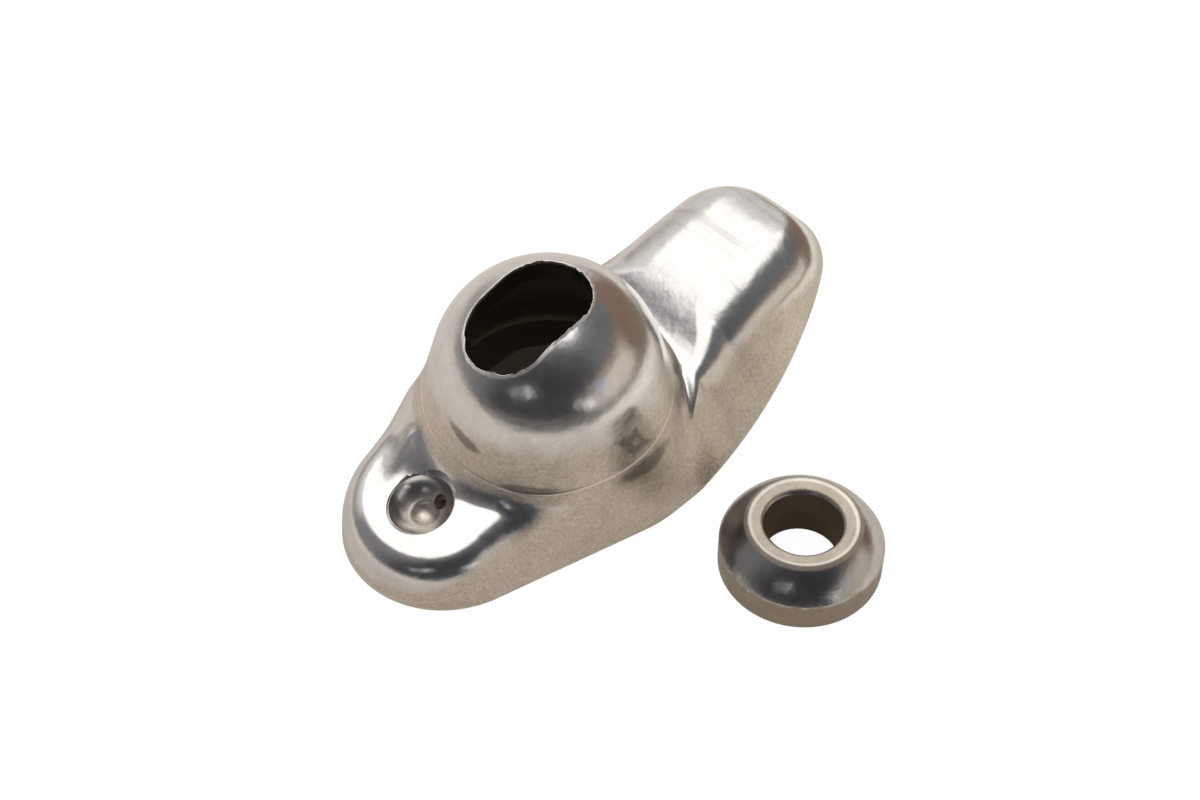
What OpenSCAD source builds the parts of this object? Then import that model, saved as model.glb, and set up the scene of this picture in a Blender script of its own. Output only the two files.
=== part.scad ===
// Stamped rocker arm with its loose pivot ball.
// The arm is one pressed piece of sheet steel: a channel that lies with its open side down,
// a hollow dome that seats the ball, a slot for the stud, a cup for the pushrod and a pad
// for the valve stem. Millimetres, Z up. The origin is the centre of the ball seat, and X runs
// towards the valve end. The level part of the arm's rim and the ball's base lie on one plane.

/* [Ball and seat] */
// Radius of the ball's spherical band
ball_r = 12.2; // [11.5:0.1:13]
// Radius of the plain band at the ball's base
ball_band_r = 10.8; // [9:0.1:11.2]
// Height of the plain band at the ball's base
ball_band_h = 4.4; // [3:0.1:6]
// Height of the ball
ball_h = 8.4; // [7:0.1:9.4]
// Radius of the stud hole through the ball
ball_bore_r = 5; // [4:0.1:5.6]
// Rounding and chamfers on the ball's edges
ball_edge = 0.5; // [0.2:0.1:0.8]
// Clearance between the ball and the seat in the dome
seat_clearance = 0.1; // [0.05:0.05:0.5]
// Distance from the arm's rim to the ball lying beside it
ball_gap = 6.3; // [2:0.1:30]
// Place of the ball along the arm
ball_along = 10; // [-10:0.5:30]

/* [Pressing] */
// Thickness of the pressed sheet
wall = 3.3; // [2.4:0.1:3.8]
// Draft angle of the dome's skirt, below the sphere
skirt_angle = 15; // [12:1:20]
// Size of the fillet between the dome and the floor
dome_fillet = 5; // [3:0.5:7]
// Depth of the rim below the pivot centre
rim_depth = 16; // [14:0.5:20]
// Place along X where the rim starts to rise towards the valve end
rim_kink_x = 9.5; // [7:0.5:16]
// Rise of the rim past that place, as a share of the length
rim_rise = 0.26; // [0.1:0.01:0.3]

/* [Plan] */
// How far the body's widest part stands out past the dome
hip_margin = 2.7; // [1.8:0.1:5]
// Place along X of the widest part
hip_x = 2.7; // [0:0.1:6]
// Radius of the pushrod end in plan
nose_r = 13.3; // [11:0.1:14]
// Distance from the pushrod cup to the end of the nose
nose_reach = 9.1; // [8:0.1:13]
// Half width of the neck between the dome and the pad
neck_half_w = 14.3; // [12:0.1:15]
// Place along X of the neck
neck_x = 22; // [20:0.5:26]
// Half width of the valve end
tip_half_w = 12.3; // [11:0.1:13]
// Distance from the pivot centre to the valve end
tip_x = 47.2; // [45:0.1:56]
// Corner radius of the valve end in plan
tip_corner = 10.5; // [9.5:0.1:11]
// How far the rim stands out past the shoulder at the nose
nose_flare = 0.8; // [0.4:0.1:2]
// How far the rim stands out past the shoulder at the hip
hip_flare = 1.5; // [0.6:0.1:3]
// How far the rim stands out past the shoulder at the valve end
tip_flare = 2.3; // [1:0.1:3]
// Radius of the long arc of the rim from the hip to the valve end
side_arc_r = 70; // [66:1:90]

/* [Stud slot] */
// Width of the stud slot
slot_w = 12.2; // [10.5:0.1:14]
// Length of the stud slot
slot_l = 18.5; // [15:0.1:20]
// Lean of the stud's axis towards the pushrod end
stud_lean = 14; // [6:1:18]

/* [Pushrod cup] */
// Distance from the pivot centre to the pushrod cup
pushrod_arm = 23; // [21:0.1:27]
// Height of the floor at the cup, from the pivot centre
cup_floor_z = -7.7; // [-9:0.1:-6]
// Slope of the floor at the cup, rising towards the dome
cup_slope = 13; // [8:1:18]
// Radius of the cup at its mouth
cup_r = 4.4; // [3.6:0.1:4.8]
// Depth of the cup's main hollow
cup_depth = 3; // [2:0.1:3.4]
// Radius of the small pocket in the bottom of the cup
cup_pocket_r = 2.3; // [1.6:0.1:2.8]
// Depth of that pocket below the main hollow
cup_pocket_depth = 0.5; // [0.2:0.1:0.8]
// Thickness of the metal round the cup
cup_wall = 2.2; // [1.6:0.1:3]
// Radius of the oil hole in the cup's side
oil_hole_r = 1; // [0.5:0.1:1.2]
// Angle of the oil hole below the cup's mouth
oil_hole_dip = 42; // [32:1:60]
// Angle of the oil hole to the side of the arm's middle plane
oil_hole_turn = 12; // [-20:1:20]
// Shoulder radius at the nose
nose_shoulder_r = 6.5; // [4.5:0.1:7.5]

/* [Valve pad] */
// Place along X of the pad's highest line
pad_x = 37.7; // [36:0.1:42]
// Height of that line, from the pivot centre
pad_z = 2.3; // [0:0.1:4]
// Length over which the pad falls towards the dome
pad_length = 20.9; // [17:0.1:22]
// Height of the pad above the waist
pad_drop = 6.7; // [5:0.1:9]
// Fall of the floor from the pad to the valve end
tip_drop = 2.2; // [1:0.1:4]
// Shoulder radius at the hip, where the wall carries on the dome's skirt
hip_shoulder_r = 1.5; // [1:0.1:4]
// Shoulder radius at the valve end
tip_shoulder_r = 8.5; // [6:0.1:9]

/* [Hidden] */
$fn = 96;

// Radius of the seat in the dome, and of the dome outside
seat_r = ball_r + seat_clearance;
dome_r = seat_r + wall;
// Metal that the pressing leaves inside the dome for the seat to be finished from
seat_stock = 0.4;
// Plane that the arm and the ball lie on
ground_z = -rim_depth;
hip_r = dome_r + hip_margin;
nose_x = -(pushrod_arm + nose_reach - nose_r);
waist_z = pad_z - pad_drop;
// Inner corners of the pressing are never sharper than this
least_inner_r = 0.6;
// Blend between the waist and the foot of the pad
waist_blend = 2;
// Beside the dome the floor sinks by this much below the skirt, between these distances from the middle
hip_sink = 6;
hip_sink_from = 4;
hip_sink_to = 12.5;
hip_sink_x = 0.5;

// Points on each stretch of the half outline: nose, side, corner and end
nose_steps = 10;
side_steps = 24;
corner_steps = 6;
end_steps = 4;
half_ring = nose_steps + side_steps + corner_steps + end_steps;
ring = 2 * half_ring;
// Rows over the sphere, the skirt and the floor, round the shoulder and down the wall
outer_rows = [8, 7, 7, 6, 3];
inner_rows = [6, 6, 5, 4, 3];
// A shoulder's rounding takes at most this share of the height above the rim
shoulder_share = 0.75;

// Goes smoothly from 0 at a to 1 at b
function ease(a, b, x) = let (t = min(max((x - a) / (b - a), 0), 1)) t * t * (3 - 2 * t);

// The larger of a and b, rounded where they are within k of each other
function soft_max(a, b, k) = let (h = max(k - abs(a - b), 0) / k) max(a, b) + h * h * k / 4;

// Outline of the shoulder and of the rim:
// nose centre and radius, hip centre and radius, end, corner radius
shoulder_plan = [nose_x, nose_r, hip_x, hip_r, tip_x, tip_corner];
rim_plan = [nose_x, nose_r + nose_flare, hip_x + hip_flare, hip_r + hip_flare,
    tip_x + tip_flare, tip_corner];

// Angle of the straight side that touches the nose circle and the hip circle
function side_angle(plan) = asin((plan[3] - plan[1]) / (plan[2] - plan[0]));

// Half width from the nose to the hip: that straight side, then the hip circle
function nose_side_w(plan, x) =
    let (a = side_angle(plan), x_hip = plan[2] - plan[3] * sin(a))
    x < x_hip
        ? plan[1] * cos(a) + (x - plan[0] + plan[1] * sin(a)) * tan(a)
        : sqrt(max(pow(plan[3], 2) - pow(x - plan[2], 2), 0));

// Half width of the shoulder: the hip circle gives way to the straight sides of the valve end
function shoulder_w(x) =
    let (end_w = tip_half_w + (neck_half_w - tip_half_w) * (tip_x - x) / (tip_x - neck_x),
         share = ease(hip_x + 3.5, neck_x + 2, x))
    max(nose_side_w(shoulder_plan, x), tip_half_w) * (1 - share) + end_w * share;

// Half width of the rim: past the hip it follows one long arc
function rim_w(x) =
    let (past = max(x - hip_x - 2 * hip_flare - 2, 0))
    x < rim_plan[2]
        ? nose_side_w(rim_plan, x)
        : rim_plan[3] - side_arc_r + sqrt(pow(side_arc_r, 2) - past * past);

// Half width of the shoulder or of the rim at x
function side_w(on_rim, x) = on_rim ? rim_w(x) : shoulder_w(x);

// Point k of the half outline: round the nose, along the side, round the corner, in to the end's middle.
// The corner is an arc that leaves the side along its own direction.
function half_point(plan, on_rim, k) =
    let (a = side_angle(plan),
         x_side = plan[0] - plan[1] * sin(a),
         x_end = plan[4] - plan[5] / 2,
         turn = atan(side_w(on_rim, x_end - 0.5) - side_w(on_rim, x_end + 0.5)),
         x_corner = plan[4] - plan[5] * (1 - sin(turn)),
         w_corner = side_w(on_rim, x_corner),
         s = k - nose_steps,
         c = s - side_steps,
         e = c - corner_steps)
    k < nose_steps
        ? let (t = (90 - a) * k / nose_steps) [plan[0] - plan[1] * cos(t), plan[1] * sin(t)]
        : s < side_steps
            ? let (x = x_side + (x_corner - x_side) * s / side_steps) [x, side_w(on_rim, x)]
            : let (t = turn + (90 - turn) * min(c / corner_steps, 1))
              [x_corner + plan[5] * (sin(t) - sin(turn)),
               (w_corner - plan[5] * (cos(turn) - cos(t))) * (1 - max(e, 0) / end_steps)];

// The whole outline, closed by its mirror image
function closed_outline(plan, on_rim) =
    let (half = [for (k = [0 : half_ring]) half_point(plan, on_rim, k)])
    concat(half, [for (k = [half_ring - 1 : -1 : 1]) [half[k][0], -half[k][1]]]);

shoulder_line = closed_outline(shoulder_plan, false);
rim_line = closed_outline(rim_plan, true);

// Outward directions along a closed outline, in plan
function outward(line) = [for (k = [0 : ring - 1])
    let (d = line[(k + 1) % ring] - line[(k + ring - 1) % ring]) [-d[1], d[0]] / norm(d)];

shoulder_out = outward(shoulder_line);
rim_out = outward(rim_line);

// Height of the dome at radius r, for a sphere of radius big_r with a drafted skirt
function dome_z(r, big_r) =
    let (r_skirt = big_r * cos(skirt_angle))
    r < r_skirt
        ? sqrt(big_r * big_r - r * r)
        : big_r * sin(skirt_angle) - (r - r_skirt) / tan(skirt_angle);

// Height of the floor along the arm: the slope at the cup, the level of the waist, the pad and the
// fall to the end; beside the dome it sinks below the skirt
function floor_z(x) =
    (x < 0
        ? -soft_max(-cup_floor_z - tan(cup_slope) * (x + pushrod_arm), -waist_z, waist_blend)
        : x < pad_x
            ? soft_max(pad_z - pad_drop * pow((pad_x - x) / pad_length, 2), waist_z, waist_blend)
            : pad_z - tip_drop * pow((x - pad_x) / (tip_x - pad_x), 2))
    - hip_sink * (1 - ease(hip_sink_from, hip_sink_to, abs(x - hip_sink_x)));

// Upright thickness of the sheet where the floor slopes
function floor_wall(x) = wall * norm([1, floor_z(x + 0.5) - floor_z(x - 0.5)]);

// Height of the outside of the sheet, and of its inside
function outer_z(p) = soft_max(dome_z(norm(p), dome_r), floor_z(p[0]), dome_fillet);
function inner_z(p) =
    soft_max(dome_z(norm(p), seat_r - seat_stock), floor_z(p[0]) - floor_wall(p[0]), dome_fillet);
function skin_z(p, inside) = inside ? inner_z(p) : outer_z(p);

// Shoulder radius along the arm
function shoulder_r(x) =
    nose_shoulder_r + (hip_shoulder_r - nose_shoulder_r) * ease(nose_x, hip_x - 10, x)
    + (tip_shoulder_r - hip_shoulder_r) * ease(hip_x + 6, neck_x + 4, x);

// Height of the rim along the arm
function rim_z(x) = ground_z + rim_rise * max(x - rim_kink_x, 0);

// Points from the dome's axis out to the plan point p: over the sphere, down to the foot of the skirt's
// fillet, and over the floor. Each stretch keeps some length where the outline lies close to the dome.
function ray(p, inside, rows) =
    let (length = norm(p),
         big_r = inside ? seat_r - seat_stock : dome_r,
         level = floor_z(p[0] / length * (dome_r + 2)) - (inside ? wall : 0),
         foot_r = big_r * cos(skirt_angle)
             + (big_r * sin(skirt_angle) - level + dome_fillet) * tan(skirt_angle),
         a = min(big_r * cos(skirt_angle), 0.8 * length),
         b = min(foot_r, a + 0.6 * (length - a)),
         radii = concat(
             [for (i = [1 : rows[0]]) big_r * sin(asin(a / big_r) * i / rows[0])],
             [for (i = [1 : rows[1]]) a + (b - a) * i / rows[1]],
             [for (i = [1 : rows[2]]) b + (length - b) * i / rows[2]]))
    [for (r = radii) let (q = p * (r / length)) [q[0], q[1], skin_z(q, inside)]];

// One section of the sheet, from the dome's axis to the rim, at outline point k.
// The inside follows the outside at the sheet's thickness.
function section(k, inside) =
    let (rows = inside ? inner_rows : outer_rows,
         n = shoulder_out[k],
         top = shoulder_line[k] - n * (inside ? wall : 0),
         foot = rim_line[k] - rim_out[k] * (inside ? wall : 0),
         height = outer_z(shoulder_line[k]) - rim_z(rim_line[k][0]),
         full_r = min(shoulder_r(shoulder_line[k][0]), shoulder_share * height),
         r = inside ? max(full_r - wall, least_inner_r) : full_r,
         start = top - n * r,
         foot_z = rim_z(foot[0]),
         lean = atan2(norm(foot - top), skin_z(top, inside) - r - foot_z),
         bend = [for (i = [1 : rows[3]])
             let (t = (90 - lean) * i / rows[3], q = start + n * (r * sin(t)))
             [q[0], q[1], skin_z(q, inside) - r * (1 - cos(t))]],
         last = bend[rows[3] - 1],
         end = [foot[0], foot[1], foot_z])
    concat(ray(start, inside, rows), bend,
        [for (i = [1 : rows[4]]) last + (end - last) * (i / rows[4])]);

// The pressed sheet as one closed skin: outside from the axis to the rim, then inside back to the axis
module sheet() {
    outer = [for (k = [0 : ring - 1]) section(k, false)];
    inner = [for (k = [0 : ring - 1]) section(k, true)];
    rows = concat([for (i = [0 : len(outer[0]) - 1]) [for (k = [0 : ring - 1]) outer[k][i]]],
        [for (i = [len(inner[0]) - 1 : -1 : 0]) [for (k = [0 : ring - 1]) inner[k][i]]]);
    n = len(rows);
    points = concat([for (row = rows) each row], [[0, 0, outer_z([0, 0])]], [[0, 0, inner_z([0, 0])]]);
    faces = concat(
        [for (k = [0 : ring - 1]) [n * ring, k, (k + 1) % ring]],
        [for (i = [0 : n - 2], k = [0 : ring - 1])
            let (l = (k + 1) % ring, a = i * ring, b = a + ring)
            each [[a + k, b + k, b + l], [a + k, b + l, a + l]]],
        [for (k = [0 : ring - 1]) [n * ring + 1, (n - 1) * ring + (k + 1) % ring, (n - 1) * ring + k]]);
    polyhedron(points = points, faces = faces, convexity = 8);
}

// Moves its children to the cup's mouth, square to the sloping floor
module at_cup() {
    translate([-pushrod_arm, 0, cup_floor_z]) rotate([0, -cup_slope, 0]) children();
}

// Radius and centre height of the sphere that the cup is a part of
cup_ball_r = (cup_r * cup_r + cup_depth * cup_depth) / (2 * cup_depth);
cup_ball_z = cup_ball_r - cup_depth;

// Metal that the cup pushes down into the channel
module cup_boss() {
    at_cup() intersection() {
        translate([0, 0, cup_ball_z]) sphere(r = cup_ball_r + cup_wall);
        translate([0, 0, -wall / 2 - cup_ball_r - cup_wall])
            cylinder(r = cup_r + cup_wall, h = cup_ball_r + cup_wall);
    }
}

// Hollow of the cup, with the small pocket in its bottom
module cup_hollow() {
    at_cup() {
        translate([0, 0, cup_ball_z]) sphere(r = cup_ball_r);
        translate([0, 0, cup_pocket_r - cup_depth - cup_pocket_depth]) sphere(r = cup_pocket_r);
    }
}

// Oil hole from the side of the cup into the channel, aimed from the middle of the cup's mouth
module oil_hole() {
    at_cup() rotate([0, 90 + oil_hole_dip, -oil_hole_turn])
        cylinder(r = oil_hole_r, h = cup_r + 2 * cup_wall + wall, $fn = 32);
}

// Stud slot: a long hole with round ends, square to the stud's axis
module stud_slot() {
    end_shift = (slot_l - slot_w) / 2;
    rotate([0, -stud_lean, 0]) {
        for (side = [-1, 1]) translate([side * end_shift, 0, 0]) cylinder(r = slot_w / 2, h = 2 * dome_r);
        translate([-end_shift, -slot_w / 2, 0]) cube([2 * end_shift, slot_w, 2 * dome_r]);
    }
}

module rocker_arm() {
    color("#a89c90") difference() {
        union() {
            sheet();
            cup_boss();
        }
        sphere(r = seat_r);
        stud_slot();
        cup_hollow();
        oil_hole();
    }
}

// Height of the sphere's centre above the ball's base
ball_centre_h = ball_band_h - sqrt(ball_r * ball_r - ball_band_r * ball_band_r);
// Radius of the ball's flat top
ball_top_r = sqrt(ball_r * ball_r - pow(ball_h - ball_centre_h, 2));

module pivot_ball() {
    translate([ball_along, -(hip_r + hip_flare + ball_gap + ball_band_r), ground_z])
    color("#8d8378") difference() {
        intersection() {
            translate([0, 0, ball_centre_h]) sphere(r = ball_r);
            union() {
                cylinder(r1 = ball_band_r - ball_edge, r2 = ball_band_r, h = ball_edge);
                translate([0, 0, ball_edge]) cylinder(r = ball_band_r, h = ball_h - 2 * ball_edge);
                translate([0, 0, ball_h - ball_edge])
                    cylinder(r1 = ball_top_r + ball_edge, r2 = ball_top_r - ball_edge, h = ball_edge);
            }
        }
        translate([0, 0, -1]) cylinder(r = ball_bore_r, h = ball_h + 2);
        translate([0, 0, -ball_edge])
            cylinder(r1 = ball_bore_r + 2 * ball_edge, r2 = ball_bore_r, h = 2 * ball_edge);
        translate([0, 0, ball_h - ball_edge / 2])
            cylinder(r1 = ball_bore_r, r2 = ball_bore_r + ball_edge, h = ball_edge);
    }
}

rocker_arm();
pivot_ball();
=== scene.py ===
"""Looks of a stamped rocker arm and its loose pivot ball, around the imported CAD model.

Shapes are worked out in millimetres and radians, in the frame of the CAD model: the origin is the
centre of the ball seat, X runs towards the valve end and Z is up. They become metres when they are put
into a mesh. A pair of numbers that ease() takes is a range: it starts at the first, ends at the second.
"""

import bpy
import numpy as np
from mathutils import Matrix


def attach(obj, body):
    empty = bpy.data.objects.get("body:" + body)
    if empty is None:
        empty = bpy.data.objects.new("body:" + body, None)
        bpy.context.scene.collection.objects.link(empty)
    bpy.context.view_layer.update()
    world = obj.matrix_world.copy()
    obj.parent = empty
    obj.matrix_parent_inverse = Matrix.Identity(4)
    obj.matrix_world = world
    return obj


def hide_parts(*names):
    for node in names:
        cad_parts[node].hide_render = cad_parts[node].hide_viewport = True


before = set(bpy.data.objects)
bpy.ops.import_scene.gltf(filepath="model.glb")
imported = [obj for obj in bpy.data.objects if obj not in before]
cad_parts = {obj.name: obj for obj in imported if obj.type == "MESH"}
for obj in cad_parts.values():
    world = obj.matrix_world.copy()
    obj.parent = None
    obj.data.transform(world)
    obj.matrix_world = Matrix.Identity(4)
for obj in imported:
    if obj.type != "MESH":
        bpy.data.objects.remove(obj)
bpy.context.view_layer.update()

MM = 0.001
GROUND = -16.0

# Sheet, ball seat and dome
WALL = 3.3
BALL_R = 12.2
SEAT_R = BALL_R + 0.1
DOME_R = SEAT_R + WALL
SEAT_STOCK = 0.4
SKIRT = np.radians(15)
FILLET = 5.0

# Plan: nose circle, hip circle about the dome, neck and tip of the valve end, and the rim's flare
HIP_X = 2.7
HIP_MARGIN = 2.7
HIP_R = DOME_R + HIP_MARGIN
NOSE_R = 13.3
CUP_X = -23.0
CUP_TO_NOSE = 9.1
NOSE_X = CUP_X - CUP_TO_NOSE + NOSE_R
NECK_X = 22.0
NECK_W = 13.3
TIP_X = 46.7
TIP_W = 11.5
TIP_CORNER = 10.5
NOSE_FLARE = 0.8
HIP_FLARE = 1.5
RIM_END_X = 49.5
SIDE_ARC_R = 70.0
SIDE_ARC_X = HIP_X + 2 * HIP_FLARE + 2
HIP_TO_NECK = (HIP_X + 3.5, NECK_X + 2)
# The rim's points beyond this place along the arm go with the shoulder's corner
CORNER_FROM = 38.0

# Rim: level as far as its kink, then rising towards the valve end, with rolled edges
RIM_KINK_X = 9.5
RIM_RISE = 0.26
RIM_EDGE = 0.45

# Floor of the channel: the valve pad's crown, its fall to both sides, the waist, the sink by the dome
PAD_X = 37.7
PAD_Z = 2.3
PAD_LENGTH = 20.9
PAD_DROP = 6.7
TIP_DROP = 2.2
WAIST_Z = PAD_Z - PAD_DROP
WAIST_BLEND = 2.0
HIP_SINK = 6.0
HIP_SINK_X = 0.5
HIP_SINK_NOSE_SIDE = (4.0, 12.5)
HIP_SINK_PAD_SIDE = (7.0, 16.0)
# Past the cup the floor bends up a little from its slope, and on that side the dome's fillet is larger
NOSE_LIFT = 0.010
NOSE_FILLET = 2.0
NOSE_FILLET_END = (-14.0, -3.0)

# Hollow ramp from the cup's rim to the foot of the dome, on the far side
RAMP = 1.9
RAMP_RUN = 5.0
RAMP_FADE_R = (19.0, 26.0)
RAMP_FADE_Y = (-5.0, 1.0)
RAMP_FADE_X = (-18.0, -11.0)
RAMP_FADE_FLANK = (-2.0, 2.5)
RAMP_FLANK_Y = 6.2
RAMP_FLANK_SLOPE = 0.57
RAMP_FLANK_X = -23.1

# Shoulder between floor and wall: its radius, small at the hip, and the most of the height it may take
NOSE_SHOULDER = 6.5
HIP_SHOULDER = 1.5
TIP_SHOULDER = 10.5
SHOULDER_TO_HIP = (NOSE_X, HIP_X - 10)
SHOULDER_TO_PAD = (HIP_X + 10, NECK_X + 6)
SHOULDER_SHARE = 0.75
LEAST_INNER_R = 0.6
# It swells past the CAD outline round the nose, and starts this much further out there
NOSE_BULGE = 0.6
NOSE_INSET = 2.0
NOSE_INSET_END = (-22.0, -8.0)
# On the near flank it is drawn in beside the cup
FLANK_PULL = 1.6
FLANK_SIDE = (0.0, -6.0)
FLANK_START = (-32.0, -17.0)
FLANK_END = (-15.0, -3.0)

# Slot for the stud, which leans towards the nose, its rounded lower edge, and the burr round it
SLOT_W = 12.2
SLOT_L = 18.5
STUD_LEAN = np.radians(14)
SLOT_EDGE = 0.3
BURR = 0.2
BURR_EDGE = 0.22
# Size in millimetres and reach in points of the raggedness of the slot, and of the burr's height
RAGGED = ((0.03, 2), (0.05, 9))
BURR_RAGGED = (0.06, 4)

# Pushrod cup: slope, hollow with its pocket, the little step round that, flared mouth and metal behind
CUP_Z = -7.7
CUP_SLOPE = np.radians(13)
CUP_R = 4.4
CUP_DEPTH = 3.0
CUP_BALL_R = (CUP_R ** 2 + CUP_DEPTH ** 2) / (2 * CUP_DEPTH)
CUP_BALL_Z = CUP_BALL_R - CUP_DEPTH
POCKET_R = 2.3
POCKET_DEPTH = CUP_DEPTH + 0.5
STEP_Z = -CUP_DEPTH + 0.42
STEP_RISE = 0.12
CUP_FLARE = ((0.02, -0.1), (0.16, 0.06), (0.5, 0.32), (0.5, 4.0))
BOSS_R = CUP_BALL_R + 2.2
OIL_R = 1.0
OIL_SPAN = (1.0, 11.0)
OIL_DIP = np.radians(42)
OIL_TURN = np.radians(12)

# Pivot ball: plain base, spherical band, top ring, bore, and its place beside the arm
BASE_R = 10.8
BASE_FOOT_R = 7.5
BAND_Z = 4.4
BAND_TOP_R = 7.25
RING_R = 6.7
BALL_H = 8.4
BORE_R = 5.0
BORE_CHAMFER = 0.5
BORE_MIDDLE = 4.0
BALL_GAP = 6.3
BALL_X = 10.0
BALL_Y = -(HIP_R + HIP_FLARE + BALL_GAP + BASE_R)
# How far before a corner its rounding starts: at the foot, the band's top, the mouth's rings and the bore
FOOT_ROUND = 0.5
BAND_ROUND = 0.45
RING_ROUND = 0.2
BORE_ROUND = 0.25

# Nose x and radius, hip x and radius, and end x of the shoulder's outline and of the rim's
SHOULDER_PLAN = (NOSE_X, NOSE_R + NOSE_BULGE, HIP_X, HIP_R, TIP_X)
RIM_PLAN = (NOSE_X, NOSE_R + NOSE_FLARE, HIP_X + HIP_FLARE, HIP_R + HIP_FLARE, RIM_END_X)
# Points of half an outline: nose arc, side, corner arc, flat end
STEPS = (30, 140, 20, 8)
# Rows of points over the floor, the shoulder and the wall, outside and inside
OUTER_ROWS = (84, 28, 18)
INNER_ROWS = (34, 8, 8)
# Rows of the rounded edges of rim and burr, of the slot's lower edge, and of the slot's wall
EDGE_ROWS = 5
SLOT_EDGE_ROWS = 4
SLOT_WALL_ROWS = 8
# Steps round the turned shapes
BALL_STEPS = 256
CUP_STEPS = 160
BOSS_STEPS = 96
OIL_STEPS = 48
# Neighbouring faces that meet at a larger angle keep a sharp edge
SHARP = np.radians(38)


def ease(a, b, x):
    """Goes smoothly from 0 at a to 1 at b: 3 t^2 - 2 t^3."""
    t = np.clip((x - a) / (b - a), 0, 1)
    return t * t * (3 - 2 * t)


def soft_max(a, b, k):
    """The larger of a and b, rounded by a parabola where they are within k of each other."""
    h = np.maximum(k - np.abs(a - b), 0) / k
    return np.maximum(a, b) + h * h * k / 4


def side_angle(plan):
    """Angle of the straight line that touches the nose circle and the hip circle."""
    nose_x, nose_r, hip_x, hip_r, _ = plan
    return np.arcsin((hip_r - nose_r) / (hip_x - nose_x))


def nose_side_w(plan, x):
    """Half width from nose to hip: the touching line, then the hip circle."""
    nose_x, nose_r, hip_x, hip_r, _ = plan
    a = side_angle(plan)
    line = nose_r * np.cos(a) + (x - nose_x + nose_r * np.sin(a)) * np.tan(a)
    circle = np.sqrt(np.maximum(hip_r ** 2 - (x - hip_x) ** 2, 0))
    return np.where(x < hip_x - hip_r * np.sin(a), line, circle)


def shoulder_w(x):
    """Half width of the shoulder: the hip gives way to the straight, tapering valve end."""
    end_w = TIP_W + (NECK_W - TIP_W) * (TIP_X - x) / (TIP_X - NECK_X)
    share = ease(*HIP_TO_NECK, x)
    return np.maximum(nose_side_w(SHOULDER_PLAN, x), TIP_W) * (1 - share) + end_w * share


def rim_w(x):
    """Half width of the rim: past the hip it follows one long arc."""
    past = np.maximum(x - SIDE_ARC_X, 0)
    arc = HIP_R + HIP_FLARE - SIDE_ARC_R + np.sqrt(SIDE_ARC_R ** 2 - past ** 2)
    return np.where(x < HIP_X + HIP_FLARE, nose_side_w(RIM_PLAN, x), arc)


def even_points(line, count):
    """Points at even steps along a line of points, ends included."""
    run = np.append(0, np.cumsum(np.linalg.norm(np.diff(line, axis=0), axis=1)))
    place = np.linspace(0, run[-1], count)
    return np.column_stack([np.interp(place, run, line[:, k]) for k in (0, 1)])


def closed_outline(plan, width):
    """Plan outline: nose arc, side, corner arc that leaves the side in its own direction, end, mirror.

    The side's own points end at CORNER_FROM at the latest, and what is left of it goes with the corner.
    """
    nose_x, nose_r, _, _, end_x = plan
    nose, side, corner, end = STEPS
    a = side_angle(plan)
    t = (np.pi / 2 - a) * np.arange(nose) / nose
    round_nose = np.column_stack([nose_x - nose_r * np.cos(t), nose_r * np.sin(t)])
    by_corner = end_x - TIP_CORNER / 2
    turn = np.arctan(width(by_corner - 0.5) - width(by_corner + 0.5))
    x_corner = end_x - TIP_CORNER * (1 - np.sin(turn))
    x_stop = min(x_corner, CORNER_FROM)
    x = np.linspace(nose_x - nose_r * np.sin(a), x_stop, side, endpoint=False)
    flank = np.column_stack([x, width(x)])
    x = np.linspace(x_stop, x_corner, 60, endpoint=False)
    t = np.linspace(turn, np.pi / 2, 120)
    turned = np.column_stack([x_corner + TIP_CORNER * (np.sin(t) - np.sin(turn)),
                              width(x_corner) - TIP_CORNER * (np.cos(turn) - np.cos(t))])
    bend = even_points(np.vstack([np.column_stack([x, width(x)]), turned]), corner + 1)
    flat = bend[-1] * np.column_stack([np.ones(end), 1 - np.arange(1, end + 1) / end])
    half = np.vstack([round_nose, flank, bend, flat])
    return np.vstack([half, (half * (1, -1))[-2:0:-1]])


def outward(line):
    """Unit directions square to a closed outline, pointing away from it."""
    d = np.roll(line, -1, 0) - np.roll(line, 1, 0)
    n = np.column_stack([-d[:, 1], d[:, 0]])
    return n / np.linalg.norm(n, axis=1, keepdims=True)


def dome_z(r, big_r):
    """Height at distance r from the axis of a sphere that goes over into a cone below its skirt angle."""
    skirt_r = big_r * np.cos(SKIRT)
    ball = np.sqrt(np.maximum(big_r ** 2 - r ** 2, 0))
    return np.where(r < skirt_r, ball, big_r * np.sin(SKIRT) - (r - skirt_r) / np.tan(SKIRT))


def floor_z(x):
    """Height of the floor: cup's slope with a lift at the nose, waist, pad's parabola, its fall to the end.

    It sinks beside the dome.
    """
    cup = -soft_max(-CUP_Z - np.tan(CUP_SLOPE) * (x - CUP_X), -WAIST_Z + 0 * x, WAIST_BLEND)
    pad = soft_max(PAD_Z - PAD_DROP * ((PAD_X - x) / PAD_LENGTH) ** 2, WAIST_Z + 0 * x, WAIST_BLEND)
    tip = PAD_Z - TIP_DROP * ((x - PAD_X) / (TIP_X - PAD_X)) ** 2
    off = x - HIP_SINK_X
    sink = HIP_SINK * (1 - ease(*HIP_SINK_NOSE_SIDE, -off) - ease(*HIP_SINK_PAD_SIDE, off))
    lift = NOSE_LIFT * np.maximum(CUP_X - x, 0) ** 2
    return np.where(x < 0, cup, np.where(x < PAD_X, pad, tip)) - sink + lift


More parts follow.
